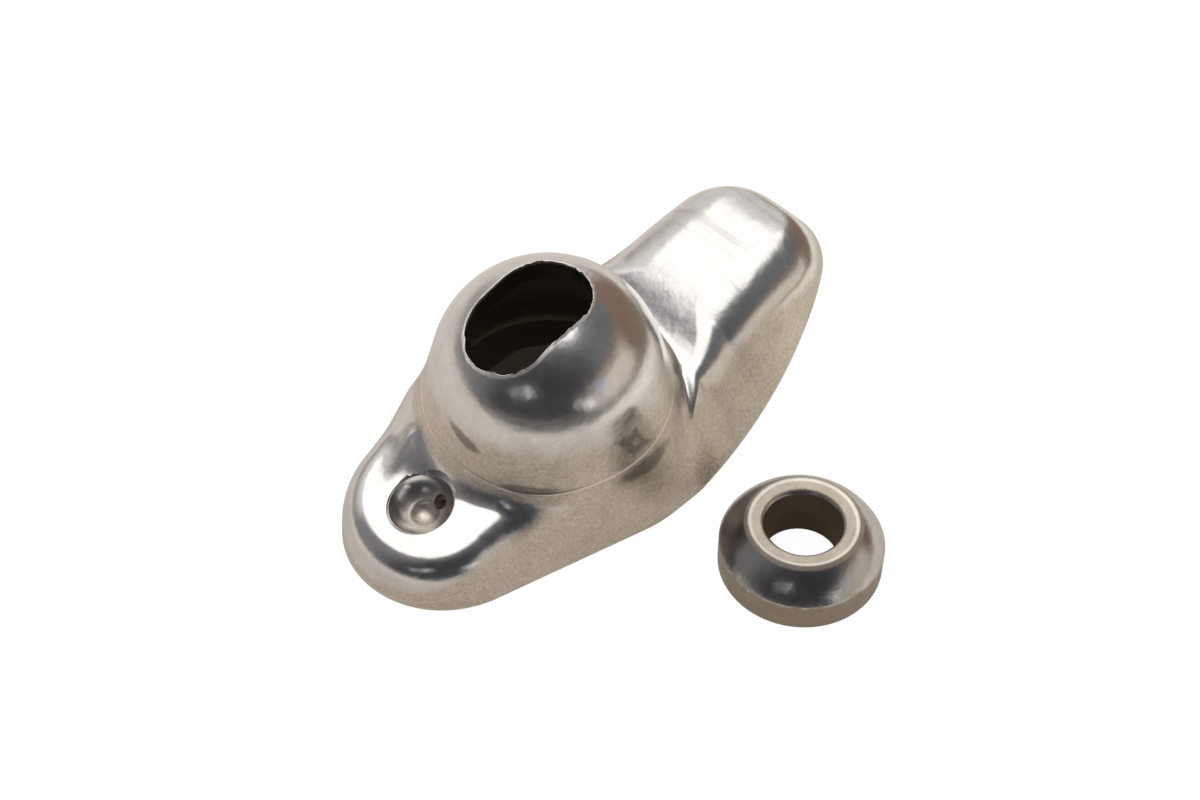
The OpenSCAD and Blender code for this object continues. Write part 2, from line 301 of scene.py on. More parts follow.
def ramp_z(x, y):
    """Height of the hollow ramp above the floor.

    It climbs from the cup's rim by a parabola, and fades out away from the dome, towards the near side,
    along the arm, and past a slanting line beside the far flank.
    """
    climb = np.clip((np.hypot(x - CUP_X, y) - CUP_R) / RAMP_RUN, 0, 1)
    past_flank = y - RAMP_FLANK_Y - RAMP_FLANK_SLOPE * (x - RAMP_FLANK_X)
    up = RAMP * climb * (1.5 - 0.5 * climb) * (1 - ease(*RAMP_FADE_R, np.hypot(x, y)))
    up = up * ease(*RAMP_FADE_Y, y) * (1 - ease(*RAMP_FADE_X, x))
    return up * (1 - ease(*RAMP_FADE_FLANK, past_flank))


def skin_z(x, y, inside):
    """Height of the sheet's outside or inside: the dome, blended into the floor by a fillet."""
    r = np.hypot(x, y)
    if not inside:
        fillet = FILLET + NOSE_FILLET * (1 - ease(*NOSE_FILLET_END, x))
        return soft_max(dome_z(r, DOME_R), floor_z(x) + ramp_z(x, y), fillet)
    drop = WALL * np.hypot(1, floor_z(x + 0.5) - floor_z(x - 0.5))
    pressed = soft_max(dome_z(r, SEAT_R - SEAT_STOCK), floor_z(x) - drop, FILLET)
    return np.where(r < SEAT_R, np.maximum(pressed, np.sqrt(np.maximum(SEAT_R ** 2 - r ** 2, 0))), pressed)


def shoulder_r(x):
    """Radius of the shoulder along the arm: from the nose down to the hip, then up to the pad."""
    return (NOSE_SHOULDER + (HIP_SHOULDER - NOSE_SHOULDER) * ease(*SHOULDER_TO_HIP, x)
            + (TIP_SHOULDER - HIP_SHOULDER) * ease(*SHOULDER_TO_PAD, x))


def rim_z(x):
    """Height of the rim, which rises past its kink towards the valve end."""
    return GROUND + RIM_RISE * np.maximum(x - RIM_KINK_X, 0)


def slot_radius(direction, big_r):
    """Distance from the axis, along plan directions, at which the slot cuts a sphere: found by halving."""
    low = np.zeros(len(direction))
    high = np.full(len(direction), big_r * 0.98)
    for _ in range(40):
        middle = (low + high) / 2
        x = middle * direction[:, 0]
        y = middle * direction[:, 1]
        z = np.sqrt(big_r ** 2 - middle ** 2)
        along = x * np.cos(STUD_LEAN) + z * np.sin(STUD_LEAN)
        past = np.hypot(np.maximum(np.abs(along) - (SLOT_L - SLOT_W) / 2, 0), y) > SLOT_W / 2
        high = np.where(past, middle, high)
        low = np.where(past, low, middle)
    return high


def even_ray(end, inside, rows, ragged):
    """Points of the skin from the slot's edge out to the plan points end, at even steps along the skin."""
    length = np.linalg.norm(end, axis=1)
    unit = end / length[:, None]
    start_r = slot_radius(unit, SEAT_R if inside else DOME_R) + ragged
    fine = start_r + (length - start_r) * np.linspace(0, 1, 400)[:, None]
    height = skin_z(fine * unit[:, 0], fine * unit[:, 1], inside)
    steps = np.hypot(np.diff(fine, axis=0), np.diff(height, axis=0))
    run = np.vstack([np.zeros(len(end)), np.cumsum(steps, axis=0)])
    place = np.linspace(0, 1, rows)[:, None] * run[-1]
    r = np.array([np.interp(place[:, k], run[:, k], fine[:, k]) for k in range(len(end))]).T
    x = r * unit[:, 0]
    y = r * unit[:, 1]
    return np.dstack([x, y, skin_z(x, y, inside)])


def arc_bend(before, corner, after, rows):
    """Rounded edge: the parabola that touches both sides of the corner, at before and at after."""
    t = np.linspace(0, 1, rows)[:, None, None]
    return (1 - t) ** 2 * before + 2 * t * (1 - t) * corner + t ** 2 * after


def toward(a, b, distance):
    """Points at that distance from a on the way to b."""
    d = b - a
    return a + d * (distance / np.linalg.norm(d, axis=-1, keepdims=True))


def side_rows(top, foot, shoulder, rim, out, inside, rows, ragged):
    """One side of the sheet: rays over the dome and floor, rounded shoulder, drafted wall to the rim."""
    ray_rows, bend_rows, wall_rows = rows
    height = skin_z(*shoulder.T, False) - rim_z(rim[:, 0])
    full_r = np.minimum(shoulder_r(shoulder[:, 0]), SHOULDER_SHARE * height)
    r = np.maximum(full_r - WALL, LEAST_INNER_R) if inside else full_r
    inset = 0 if inside else NOSE_INSET * (1 - ease(*NOSE_INSET_END, shoulder[:, 0]))
    across = r - inset
    start = top - out * across[:, None]
    foot_z = rim_z(foot[:, 0])
    # The wall is the tangent from the foot to the bend, which is a circle in a plane squeezed sideways
    wide = (((foot - top) * out).sum(1) + across) * r / across
    deep = skin_z(*top.T, inside) - r - foot_z
    lean = np.arcsin(np.minimum(r / np.hypot(wide, deep), 1))
    t_end = np.minimum(np.arctan2(deep, wide) + lean, np.pi / 2)
    t = t_end * np.linspace(0, 1, bend_rows + 1)[1:, None]
    q = start + out * (across * np.sin(t))[:, :, None]
    bend_z = skin_z(q[:, :, 0], q[:, :, 1], inside) - r * (1 - np.cos(t))
    bend = np.dstack([q[:, :, 0], q[:, :, 1], bend_z])
    end = np.column_stack([foot, foot_z])
    share = np.linspace(0, 1, wall_rows + 2)[1:-1, None, None]
    wall = bend[-1] + (end - bend[-1]) * share
    return even_ray(start, inside, ray_rows, ragged), bend, wall, end


def smooth_ring_noise(rng, count, reach):
    """Noise round a closed ring of points, smoothed over a bell of the given reach, about 1 in size."""
    wave = np.fft.rfft(rng.standard_normal(count))
    wave *= np.exp(-(np.arange(len(wave)) * reach / count * 2) ** 2)
    noise = np.fft.irfft(wave, count)
    return (noise - noise.mean()) / noise.std()


def arm_skin():
    """The whole pressed sheet as rows of closed rings: slot, outside, rim, inside and back to the slot."""
    shoulder = closed_outline(SHOULDER_PLAN, shoulder_w)
    rim = closed_outline(RIM_PLAN, rim_w)
    x = shoulder[:, 0]
    near = ease(*FLANK_SIDE, shoulder[:, 1])
    shoulder[:, 1] += FLANK_PULL * near * ease(*FLANK_START, x) * (1 - ease(*FLANK_END, x))
    out = outward(shoulder)
    rim_out = outward(rim)
    # The slot's edge is a little ragged
    rng = np.random.default_rng(11)
    count = len(shoulder)
    ragged = sum(size * smooth_ring_noise(rng, count, reach) for size, reach in RAGGED)
    ray_o, bend_o, wall_o, foot_o = side_rows(shoulder, rim, shoulder, rim, out, False, OUTER_ROWS, ragged)
    top_i = shoulder - out * WALL
    rim_i = rim - rim_out * WALL
    ray_i, bend_i, wall_i, foot_i = side_rows(top_i, rim_i, shoulder, rim, out, True, INNER_ROWS, 0)
    before, after = toward(foot_o, wall_o[-1], RIM_EDGE), toward(foot_o, foot_i, RIM_EDGE)
    rim_outer = arc_bend(before, foot_o, after, EDGE_ROWS)
    before, after = toward(foot_i, foot_o, RIM_EDGE), toward(foot_i, wall_i[-1], RIM_EDGE)
    rim_inner = arc_bend(before, foot_i, after, EDGE_ROWS)
    rim_middle = (rim_outer[-1] + rim_inner[0])[None] / 2
    slot_low = ray_i[0]
    slot_high = ray_o[0]
    low_edge = arc_bend(ray_i[1], slot_low, toward(slot_low, slot_high, SLOT_EDGE), SLOT_EDGE_ROWS)[1:]
    size, reach = BURR_RAGGED
    lip = slot_high + np.array([0, 0, 1]) * (BURR + size * smooth_ring_noise(rng, count, reach))[:, None]
    high_start = toward(lip, slot_low, BURR_EDGE)
    high_edge = arc_bend(high_start, lip, ray_o[1], EDGE_ROWS)
    share = np.linspace(0, 1, SLOT_WALL_ROWS)[1:-1, None, None]
    slot_wall = low_edge[-1] + (high_start - low_edge[-1]) * share
    return np.concatenate([high_edge[:-1], ray_o[1:], bend_o, wall_o, rim_outer, rim_middle, rim_inner,
                           wall_i[::-1], bend_i[::-1], ray_i[:0:-1], low_edge, slot_wall])


def ring_mesh(name, rows):
    """Mesh of rows of closed rings whose last row joins the first, such as a torus."""
    count, ring = rows.shape[:2]
    index = np.arange(count * ring).reshape(count, ring)
    below = np.roll(index, -1, 0)
    faces = np.stack([index, below, np.roll(below, -1, 1), np.roll(index, -1, 1)], axis=-1).reshape(-1, 4)
    return solid_mesh(name, rows.reshape(-1, 3) * MM, faces)


def solid_mesh(name, points, faces):
    """A mesh and its object from arrays of points and quads, turned so that its volume is positive."""
    p = points[faces]
    volume = np.einsum("ij,ij->i", p[:, 0], np.cross(p[:, 1], p[:, 2])).sum()
    volume += np.einsum("ij,ij->i", p[:, 0], np.cross(p[:, 2], p[:, 3])).sum()
    if volume < 0:
        faces = faces[:, ::-1]
    mesh = bpy.data.meshes.new(name)
    mesh.vertices.add(len(points))
    mesh.vertices.foreach_set("co", points.ravel())
    mesh.loops.add(faces.size)
    mesh.loops.foreach_set("vertex_index", faces.ravel())
    mesh.polygons.add(len(faces))
    mesh.polygons.foreach_set("loop_start", np.arange(len(faces)) * 4)
    mesh.update(calc_edges=True)
    mesh.validate()
    obj = bpy.data.objects.new(name, mesh)
    bpy.context.scene.collection.objects.link(obj)
    return obj


def rounded_profile(corners, radii, steps):
    """A polyline whose corners are rounded by parabolas that start at the given distances before them."""
    corners = np.array(corners, float)
    out = [corners[:1]]
    for before, corner, after, reach in zip(corners, corners[1:], corners[2:], radii):
        a = toward(corner, before, reach)
        b = toward(corner, after, reach)
        out.append(arc_bend(a, corner, b, steps)[:, 0])
    out.append(corners[-1:])
    return np.vstack(out)


def revolved(profile, steps, closed_ring):
    """A profile of radius and height turned about Z; an open one gets a single point at each end."""
    t = 2 * np.pi * np.arange(steps) / steps
    r = profile[:, :1]
    rows = np.dstack([r * np.cos(t), r * np.sin(t), profile[:, 1:] + 0 * t])
    if closed_ring:
        return rows
    caps = [np.dstack([0 * t, 0 * t, 0 * t + profile[k, 1]]) for k in (0, -1)]
    return np.concatenate([caps[0], rows, caps[1]])


def at_cup(rows):
    """Turns points by the slope of the cup and moves them to its mouth."""
    c = np.cos(CUP_SLOPE)
    s = np.sin(CUP_SLOPE)
    x = rows[..., 0] * c - rows[..., 2] * s + CUP_X
    z = rows[..., 0] * s + rows[..., 2] * c + CUP_Z
    return np.stack([x, rows[..., 1], z], axis=-1)


def tool_mesh(name, rows):
    """A closed tool of rows of rings whose first and last rows are single points; faces point outwards."""
    count, ring = rows.shape[:2]
    index = np.arange(1, (count - 2) * ring + 1).reshape(count - 2, ring)
    first = np.zeros(ring, int)
    last = np.full(ring, (count - 2) * ring + 1)
    points = np.vstack([rows[0, :1], rows[1:-1].reshape(-1, 3), rows[-1, :1]]) * MM
    turned = np.roll(index, -1, 1)
    faces = np.stack([index[:-1], index[1:], turned[1:], turned[:-1]], axis=-1).reshape(-1, 4).tolist()
    faces += np.column_stack([first, index[0], turned[0]]).tolist()
    faces += np.column_stack([last, turned[-1], index[-1]]).tolist()
    mesh = bpy.data.meshes.new(name)
    mesh.from_pydata(points.tolist(), [], faces)
    mesh.calc_loop_triangles()
    corners = np.zeros(len(mesh.loop_triangles) * 3, int)
    mesh.loop_triangles.foreach_get("vertices", corners)
    p = points[corners.reshape(-1, 3)]
    if np.einsum("ij,ij->i", p[:, 0], np.cross(p[:, 1], p[:, 2])).sum() < 0:
        mesh.flip_normals()
    obj = bpy.data.objects.new(name, mesh)
    bpy.context.scene.collection.objects.link(obj)
    return obj


def combine(target, tool, operation):
    """Joins a tool to the target or cuts it out of it, exactly, and removes the tool."""
    change = target.modifiers.new("change", "BOOLEAN")
    change.operation = operation
    change.object = tool
    change.solver = "EXACT"
    bpy.context.view_layer.update()
    seen = target.evaluated_get(bpy.context.evaluated_depsgraph_get())
    mesh = bpy.data.meshes.new_from_object(seen)
    target.modifiers.clear()
    old = target.data
    target.data = mesh
    bpy.data.meshes.remove(old)
    bpy.data.objects.remove(tool)


def boss_profile():
    """Radius and height of the metal behind the cup: a larger sphere, cut off inside the sheet."""
    t = np.linspace(0, np.arccos((-WALL / 2 - CUP_BALL_Z) / BOSS_R) - np.pi, 30)[1:]
    return np.column_stack([BOSS_R * np.sin(-t), CUP_BALL_Z - BOSS_R * np.cos(t)])


def cup_profile():
    """Radius and height of the cup's hollow: round pocket, small step, round wall, flare at the mouth."""
    pocket_z = POCKET_R - POCKET_DEPTH
    t = np.linspace(0, 1, 16)[1:] * np.arccos((pocket_z - STEP_Z) / POCKET_R)
    pocket = np.column_stack([POCKET_R * np.sin(t), pocket_z - POCKET_R * np.cos(t)])
    t_low = np.arccos((CUP_BALL_Z - (STEP_Z + STEP_RISE)) / CUP_BALL_R)
    t_high = np.arccos(CUP_BALL_Z / CUP_BALL_R) - 0.03
    t = np.linspace(t_low, t_high, 24)
    wall = np.column_stack([CUP_BALL_R * np.sin(t), CUP_BALL_Z - CUP_BALL_R * np.cos(t)])
    flare = np.array(CUP_FLARE) + (CUP_R, 0)
    return np.vstack([pocket, wall, flare])


def oil_rows():
    """The oil hole: a round tool that leaves the mouth's middle at its dip and turn."""
    profile = np.array([[OIL_R, OIL_SPAN[0]], [OIL_R, OIL_SPAN[1]]])
    rows = revolved(profile, OIL_STEPS, False)
    x, y, z = rows[..., 0], rows[..., 1], rows[..., 2]
    flat = np.cos(OIL_DIP)
    along = np.array([flat * np.cos(OIL_TURN), -flat * np.sin(OIL_TURN), -np.sin(OIL_DIP)])
    side = np.array([np.sin(OIL_TURN), np.cos(OIL_TURN), 0])
    up = np.cross(along, side)
    return x[..., None] * side + y[..., None] * up + z[..., None] * along


def make_arm():
    """The arm: the pressed skin, the metal behind the cup, the stepped cup and its oil hole."""
    arm = ring_mesh("arm_skin", arm_skin())
    combine(arm, tool_mesh("boss", at_cup(revolved(boss_profile(), BOSS_STEPS, False))), "UNION")
    combine(arm, tool_mesh("hollow", at_cup(revolved(cup_profile(), CUP_STEPS, False))), "DIFFERENCE")
    combine(arm, tool_mesh("oil", at_cup(oil_rows())), "DIFFERENCE")
    return arm


def make_ball():
    """The loose ball, turned: plain base band, spherical band, flat top ring and chamfered bore."""
    centre = BAND_Z - np.sqrt(BALL_R ** 2 - BASE_R ** 2)
    t = np.linspace(np.arcsin((BAND_Z - centre) / BALL_R), np.arccos(BAND_TOP_R / BALL_R), 40)
    band = np.column_stack([BALL_R * np.cos(t), centre + BALL_R * np.sin(t)])
    base = rounded_profile([[BASE_FOOT_R, 0], [BASE_R, 0], [BASE_R, BAND_Z]], [FOOT_ROUND], 6)
    base = np.vstack([base[:-1], np.column_stack([np.full(6, BASE_R), np.linspace(0.9, 4.2, 6)])])
    mouth_r = BORE_R + BORE_CHAMFER
    top = [band[-1], [RING_R, BALL_H], [mouth_r, BALL_H]]
    top += [[BORE_R, BALL_H - BORE_CHAMFER], [BORE_R, BORE_MIDDLE]]
    top = rounded_profile(top, [BAND_ROUND, RING_ROUND, BORE_ROUND], 6)[1:]
    low = [[BORE_R, BORE_MIDDLE], [BORE_R, BORE_CHAMFER], [mouth_r, 0], [BASE_FOOT_R, 0]]
    low = rounded_profile(low, [BORE_ROUND, RING_ROUND], 4)[1:-1]
    profile = np.vstack([base, band, top, low])
    return ring_mesh("ball_turned", revolved(profile, BALL_STEPS, True) + (BALL_X, BALL_Y, GROUND))


class Link:
    """A socket of a shader tree. Sums on it add Math nodes, and add() makes any other node."""

    def __init__(self, tree, socket=None):
        self.tree = tree
        self.socket = socket

    def add(self, kind, settings, sockets, out=0):
        """A node of that type: its settings are set first, then the values or links of its sockets."""
        node = self.tree.nodes.new(kind)
        for name, value in settings.items():
            setattr(node, name, value)
        for key, value in sockets.items():
            if isinstance(value, Link):
                self.tree.links.new(value.socket, node.inputs[key])
            else:
                node.inputs[key].default_value = value
        return Link(self.tree, node.outputs[out] if node.outputs else None)

    def math(self, operation, *values):
        """A Math node on this socket and the values."""
        return self.add("ShaderNodeMath", {"operation": operation}, dict(enumerate((self,) + values)))

    def __add__(self, other):
        return self.math("ADD", other)

    def __sub__(self, other):
        return self.math("SUBTRACT", other)

    def __rsub__(self, other):
        return self.add("ShaderNodeMath", {"operation": "SUBTRACT"}, {0: other, 1: self})

    def __mul__(self, other):
        return self.math("MULTIPLY", other)

    def __truediv__(self, other):
        return self.math("DIVIDE", other)

    __radd__ = __add__
    __rmul__ = __mul__

    def rise(self, low, high):
        """Goes smoothly from 0 at low to 1 at high."""
        settings = {"interpolation_type": "SMOOTHSTEP"}
        return self.add("ShaderNodeMapRange", settings, {0: self, 1: low, 2: high, 3: 0.0, 4: 1.0})

    def fall(self, low, high):
        """Goes smoothly from 1 at low to 0 at high."""
        return 1.0 - self.rise(low, high)

    def largest(self, other):
        return self.math("MAXIMUM", other)

    def smallest(self, other):
        return self.math("MINIMUM", other)

    def size(self):
        return self.math("ABSOLUTE")

    def blend(self, a, b):
        """Colour a where this is 0 and colour b where it is 1."""
        return self.add("ShaderNodeMix", {"data_type": "RGBA"}, {0: self, 6: a, 7: b}, out=2)

    def scaled(self, factor):
        """This colour or vector times a number."""
        return self.add("ShaderNodeVectorMath", {"operation": "SCALE"}, {0: self, 3: factor})


def tone(red, green, blue):
    """A colour as a socket takes it."""
    return (red, green, blue, 1.0)


def new_material(name):
    """A material with an empty tree, and the Link to build it with."""
    material = bpy.data.materials.new(name)
    material.use_nodes = True
    material.node_tree.nodes.clear()
    return material, Link(material.node_tree)


def parts(vector):
    """The three parts of a vector."""
    return [vector.add("ShaderNodeSeparateXYZ", {}, {0: vector}, out=k) for k in range(3)]


def place_mm(link):
    """Object coordinates in millimetres, as a vector and as its three parts."""
    vector = link.add("ShaderNodeTexCoord", {}, {}, out=3).scaled(1 / MM)
    return vector, parts(vector)


def speckle(vector, scale, detail=3.0, roughness=0.6):
    """Noise about 0.5, with features of 1/scale millimetres."""
    sockets = {"Vector": vector, "Scale": scale, "Detail": detail, "Roughness": roughness}
    return vector.add("ShaderNodeTexNoise", {}, sockets)


def root_sum(a, b):
    """Square root of a squared plus b squared."""
    return (a * a + b * b).math("SQRT")


def finish_metal(link, colour, roughness, relief):
    """A metal surface of that colour and roughness, with its relief in millimetres."""
    bump = link.add("ShaderNodeBump", {}, {"Strength": 1.0, "Distance": MM, "Height": relief})
    sockets = {"Base Color": colour, "Metallic": 1.0, "Roughness": roughness, "Normal": bump}
    surface = link.add("ShaderNodeBsdfPrincipled", {}, sockets)
    link.add("ShaderNodeOutputMaterial", {}, {"Surface": surface})


# Colours of the arm: polished top, matt flanks, oily marks, painted highlight of the slot's burr, and
# painted shade for the hidden inside
ARM_BRIGHT = tone(0.66, 0.645, 0.63)
ARM_MATT = tone(0.60, 0.545, 0.475)
ARM_STAIN = tone(0.17, 0.157, 0.135)
# Painted highlight: the near-white colour of the slot's burr
ARM_BURR_HIGHLIGHT = tone(1.0, 0.99, 0.97)
# Painted shade: the dark colour of the inside of the seat and the channel
ARM_INSIDE_SHADE = tone(0.13, 0.115, 0.09)
# Strength of the oily marks, and half the straight part of the slot
STAIN = 0.72
SLOT_STRAIGHT = (SLOT_L - SLOT_W) / 2


def oily_marks(x, y, z, above_crease, blotch):
    """Dark marks on the dome's foot: a diamond with a light centre, an oval below it, another, a wedge."""
    wobble = (blotch - 0.5) * 0.8
    front = y.fall(-13.0, -11.0)
    left = x.fall(-12.0, -10.0)
    dx = x + 0.3
    dz = z + 0.65
    diamond = (dx * 0.317 - dz * 0.087).size() + (dx * 0.229 + dz * 0.396).size()
    centre = root_sum(dx - 0.3, dz).fall(0.2, 0.9)
    marks = front * (diamond + wobble).fall(0.62, 1.18) * (1.0 - centre * 0.6)
    lower = root_sum((x - 1.2) / 5.4, (z + 5.2) / 1.35)
    marks = marks.largest(front * (lower + wobble).fall(0.55, 1.2))
    along = (y + 1.0) * 0.96 + (z - 0.45) * 0.27
    over = (z - 0.45) * 0.96 - (y + 1.0) * 0.27
    marks = marks.largest(left * (root_sum(along / 3.3, over / 0.8) + wobble * 0.5).fall(0.65, 1.1))
    wedge = root_sum((y + 10.6) / 3.6, (above_crease - 0.35) / 0.7)
    where = left.largest(x.rise(-16.0, -14.0) * front.largest(y.fall(-9.0, -6.0)))
    return marks.largest(where * (wedge + wobble * 0.4).fall(0.6, 1.05) * x.fall(-9.5, -8.0))


def arm_steel():
    """Worn, oily pressed steel: polished where it rubs, matt and beige low down, with painted shade inside
    the dome and painted highlights on the slot's burr and the die and trim lines.
    """
    material, link = new_material("arm_steel_worn")
    vector, (x, y, z) = place_mm(link)
    fine = speckle(vector, 2.2, 3.0, 0.65)
    grain = speckle(vector, 1.1, 4.0, 0.7)
    broad = speckle(vector, 0.16, 3.0, 0.55)
    blotch = speckle(vector, 0.45, 4.0, 0.62)
    ball_dist = root_sum(root_sum(x, y), z)
    above_crease = z + 1.6 - x * 0.0927 - y * 0.1104
    by_dome = root_sum(x, y).fall(17.9, 18.5)
    # The walls and the foot of the dome are matt below a level that climbs at the nose and to the pad
    level = ((x + 31.0) * 0.37 - 13.0).smallest(-6.4).largest(((x - 18.0) * 0.3 - 6.5).smallest(-3.2))
    low = (z - level + (broad - 0.5) * 3.0).fall(-0.9, 0.9)
    foot = by_dome * (z + (blotch - 0.5) * 3.0).fall(-0.5, 4.0)
    matt = low.largest(foot)
    mottle = (blotch - 0.5) * 0.30 + (fine - 0.5) * (0.15 + matt * 0.75) + (broad - 0.5) * 0.25
    # Rub marks across the pad
    stretch = (0.55, 0.035, 0.05)
    across = link.add("ShaderNodeVectorMath", {"operation": "MULTIPLY"}, {0: vector, 1: stretch})
    rubbed = x.rise(25.0, 29.0) * z.rise(-1.5, 0.5) * speckle(across, 1.0, 4.0, 0.6).rise(0.52, 0.66)
    # Die line round the foot of the dome, and trim line round the nose: both are real lines, painted
    # lighter as a painted highlight along them
    crease = by_dome * (above_crease.size() + (fine - 0.5) * 0.12).fall(0.05, 0.22) * x.fall(8.0, 12.0)
    trim = (z + 15.5 - (x + 32.7) * 0.38).size().fall(0.03, 0.16) * x.fall(-27.0, -24.0)
    lines = crease.largest(trim)
    # The slot's burr is painted near white all round: a real burr with a painted highlight
    past_middle = (x * np.cos(STUD_LEAN) + z * np.sin(STUD_LEAN)).size() - SLOT_STRAIGHT
    slot_gap = root_sum(past_middle.largest(0.0), y) - SLOT_W / 2
    burr_highlight = ball_dist.rise(15.2, 15.35) * (slot_gap.size() + (grain - 0.5) * 0.5).fall(0.24, 0.46)
    # What lies below it, in the seat and deep in the channel, gets painted shade: a dark colour where the
    # inside is shaded
    deep = root_sum(x, y).fall(16.6, 17.0) * z.fall(-5.0, -3.5)
    deep = deep.largest(root_sum(x - 3.5, y).fall(17.2, 17.5) * z.fall(-12.5, -11.5))
    inner = (ball_dist.fall(15.1, 15.45) * z.rise(-6.0, -2.0)).largest(deep)
    clean = matt.blend(ARM_BRIGHT, ARM_MATT)
    stained = (oily_marks(x, y, z, above_crease, blotch) * STAIN).blend(clean, ARM_STAIN)
    # lines * 0.45 paints the highlight along the die and trim lines
    shaded = stained.scaled(1.0 + mottle - rubbed * 0.14 + lines * 0.45)
    # Painted shade: where inner is 1 the colour goes to the dark inside shade
    colour = inner.blend(burr_highlight.blend(shaded, ARM_BURR_HIGHLIGHT), ARM_INSIDE_SHADE)
    roughness = 0.20 + matt * 0.16 + (grain - 0.5) * 0.12 + rubbed * 0.10 + inner * 0.25 + burr_highlight * 0.2
    relief = (fine - 0.5) * (0.004 + matt * 0.018) + (grain - 0.5) * (0.008 + matt * 0.020)
    relief = relief + (broad - 0.5) * 0.12 + lines * 0.04 + above_crease.rise(-0.25, 0.1) * by_dome * -0.03
    finish_metal(link, colour, roughness, relief)
    return material


# Colours of the ball: polished band, matt base, pits in it, top ring, painted highlight on the inner edge
# of the band, bore
BALL_BAND = tone(0.46, 0.445, 0.43)
BALL_BASE = tone(0.36, 0.31, 0.255)
BALL_PIT = tone(0.20, 0.16, 0.13)
BALL_TOP = tone(0.52, 0.46, 0.39)
BALL_EDGE_HIGHLIGHT = tone(0.80, 0.76, 0.70)
BALL_BORE = tone(0.48, 0.41, 0.31)


def ball_steel():
    """Turned steel: dark polished band, pale matt top ring and base with pits, brown bore."""
    material, link = new_material("ball_steel_turned")
    vector, (x, y, z) = place_mm(link)
    r = root_sum(x - BALL_X, y - BALL_Y)
    height = z - GROUND
    fine = speckle(vector, 3.6, 3.0, 0.7)
    blotch = speckle(vector, 0.5, 4.0, 0.6)
    base = (height + (blotch - 0.5) * 1.6 + (fine - 0.5) * 0.5).fall(4.0, 4.6)
    top = height.rise(8.0, 8.3) * r.rise(5.0, 5.2)
    pale = base.largest(top)
    bore = r.fall(5.02, 5.08) * height.fall(7.75, 7.95)
    # Painted highlight: a light ring on the rounded edge between the band and the top ring
    edge = (r - 6.95).size().fall(0.05, 0.35) * height.rise(7.4, 7.9)
    colour = top.blend(pale.blend(BALL_BAND, BALL_BASE), BALL_TOP)
    colour = (fine.rise(0.58, 0.70) * pale * 0.6).blend(colour, BALL_PIT)
    colour = edge.blend(colour, BALL_EDGE_HIGHLIGHT).scaled(1.0 + (blotch - 0.5) * 0.5)
    colour = bore.blend(colour, BALL_BORE)
    roughness = 0.20 + pale * 0.30 + (fine - 0.5) * 0.14 + bore * 0.3
    relief = (fine - 0.5) * (0.012 + pale * 0.05) + (blotch - 0.5) * 0.05
    finish_metal(link, colour, roughness, relief)
    return material


# Plan directions from the arm towards the camera and towards the right of the picture
TO_CAMERA = (-0.7026, -0.7116, 0.0)
TO_RIGHT = (0.7116, -0.7026, 0.0)


def towards(x, y):
    """How far a place or direction lies towards the camera, and towards the right."""
    return [x * way[0] + y * way[1] for way in (TO_CAMERA, TO_RIGHT)]


def camera_ray(link):
    """1 for what the camera sees by itself, and 0 for what the steel reflects."""
    return link.add("ShaderNodeLightPath", {}, {}, out=0)


# The floor as the camera sees it, bare and with painted shadow inside the arm, and its share of the light
# that falls on it
FLOOR_SEEN = tone(0.97, 0.97, 0.97)
FLOOR_SHADOW_INSIDE = tone(0.02, 0.016, 0.012)
FLOOR_MATT = tone(0.10, 0.10, 0.10)
BLACK = tone(0.0, 0.0, 0.0)
# The floor as the steel reflects it, with painted shadow near and under the parts
FLOOR_LEFT = tone(0.74, 0.68, 0.61)
FLOOR_RIGHT = tone(0.98, 0.91, 0.81)
FLOOR_BROWN = tone(0.20, 0.15, 0.11)
FLOOR_NEAR = tone(0.09, 0.085, 0.085)
FLOOR_SHADE = tone(0.22, 0.20, 0.17)
FLOOR_SHADOW_UNDER = tone(0.05, 0.04, 0.03)
FLOOR_SIZE = 3.0
FLOOR_GAP = 0.02
# Footprints: the arm's capsule as middle, half its straight part and radius, its hip, and the ball
ARM_FOOT = (8.0, 28.0, 11.0)
HIP_FOOT_R = 19.2
BALL_FOOT_R = 8.0
# What the slot lets through gets painted shadow; past the hip the rim is too high above the floor to hide
# it
HIDDEN_FOOT = (-6.0, 15.0, 11.0)


def capsule_gap(x, y, middle, half, radius):
    """Distance outside a capsule that lies along X."""
    return root_sum(((x - middle).size() - half).largest(0.0), y) - radius


